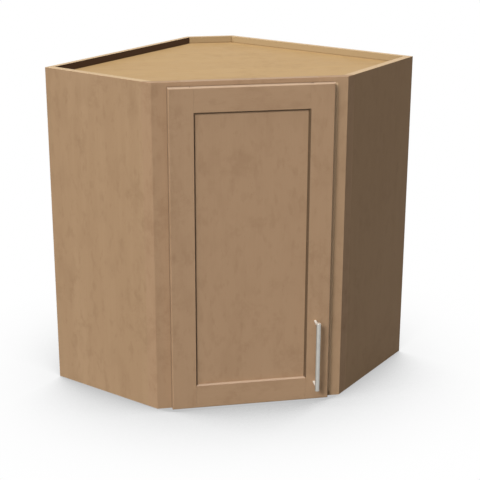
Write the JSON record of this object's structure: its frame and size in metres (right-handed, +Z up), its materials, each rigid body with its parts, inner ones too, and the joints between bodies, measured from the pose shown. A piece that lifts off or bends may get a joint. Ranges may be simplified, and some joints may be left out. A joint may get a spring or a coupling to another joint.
{
  "type": "corner wall cabinet",
  "caption": "Diagonal corner wall cabinet with face frame, recessed-panel door on concealed link hinges, bar handle and adjustable shelves.",
  "frame": {"origin": "centre of the bounding box in plan, at the level of the cabinet's lower edges", "axes": "+X to the right seen from the front, +Y to the room corner behind, +Z up; the door faces -Y"},
  "size_m": [0.8622, 0.6444, 0.762],
  "materials": {
    "stained_wood": "satin stained hardwood",
    "side_veneer": "satin stained veneer outside",
    "maple_panel": "clear-coated maple plywood",
    "satin_nickel": "satin nickel plate",
    "hinge_steel": "bright nickel-plated steel",
    "clear_rubber": "soft translucent"
  },
  "bodies": {
    "cabinet": {"left_side_panel": "side_veneer", "right_side_panel": "side_veneer", "left_back_panel": "maple_panel", "right_back_panel": "maple_panel", "corner_back_panel": "maple_panel", "top_panel": "maple_panel", "bottom_panel": "maple_panel", "shelf_lower": "maple_panel", "shelf_upper": "maple_panel", "frame_stile_left": "stained_wood", "frame_stile_right": "stained_wood", "frame_rail_bottom": "stained_wood", "frame_rail_top": "stained_wood", "shelf_pin_1_left_rear": "satin_nickel", "shelf_pin_1_left_front": "satin_nickel", "shelf_pin_2_left_rear": "satin_nickel", "shelf_pin_2_left_front": "satin_nickel", "shelf_pin_1_right_rear": "satin_nickel", "shelf_pin_1_right_front": "satin_nickel", "shelf_pin_2_right_rear": "satin_nickel", "shelf_pin_2_right_front": "satin_nickel", "shelf_pin_1_corner": "satin_nickel", "shelf_pin_2_corner": "satin_nickel", "hinge_arm_lower": "hinge_steel", "hinge_arm_upper": "hinge_steel", "hinge_arm_screw_lower_lower": "hinge_steel", "hinge_arm_screw_lower_upper": "hinge_steel", "hinge_arm_screw_upper_lower": "hinge_steel", "hinge_arm_screw_upper_upper": "hinge_steel"},
    "main_links": {"hinge_main_link_lower": "hinge_steel", "hinge_main_link_upper": "hinge_steel"},
    "door": {"door_stile_hinge_side": "stained_wood", "door_stile_handle_side": "stained_wood", "door_rail_bottom": "stained_wood", "door_rail_top": "stained_wood", "door_centre_panel": "stained_wood", "handle_bar": "satin_nickel", "handle_post_lower": "satin_nickel", "handle_post_upper": "satin_nickel", "handle_screw_lower": "hinge_steel", "handle_screw_upper": "hinge_steel", "door_bumper_lower": "clear_rubber", "door_bumper_upper": "clear_rubber", "hinge_cup_lower": "hinge_steel", "hinge_cup_upper": "hinge_steel", "hinge_cup_screw_lower_lower": "hinge_steel", "hinge_cup_screw_lower_upper": "hinge_steel", "hinge_cup_screw_upper_lower": "hinge_steel", "hinge_cup_screw_upper_upper": "hinge_steel"},
    "tail_links": {"hinge_tail_link_lower": "hinge_steel", "hinge_tail_link_upper": "hinge_steel"}
  },
  "joints": [
    {"name": "main_link_swing", "type": "hinge", "parent": "cabinet", "child": "main_links", "pos_m": [-0.15115, -0.26776, 0.381], "axis": [0, 0, 1], "range_deg": [0, 48]},
    {"name": "door_swing", "type": "hinge", "parent": "main_links", "child": "door", "pos_m": [-0.16995, -0.26956, 0.381], "axis": [0, 0, -1], "range_deg": [0, 148]},
    {"name": "tail_link_swing", "type": "hinge", "parent": "door", "child": "tail_links", "pos_m": [-0.17085, -0.27546, 0.381], "axis": [0, 0, 1], "range_deg": [0, 109.6]}
  ],
  "couplings": [
    {"joint": "main_link_swing", "follows": "door_swing", "ratio": 0.32432},
    {"joint": "tail_link_swing", "follows": "door_swing", "ratio": 0.74054}
  ]
}
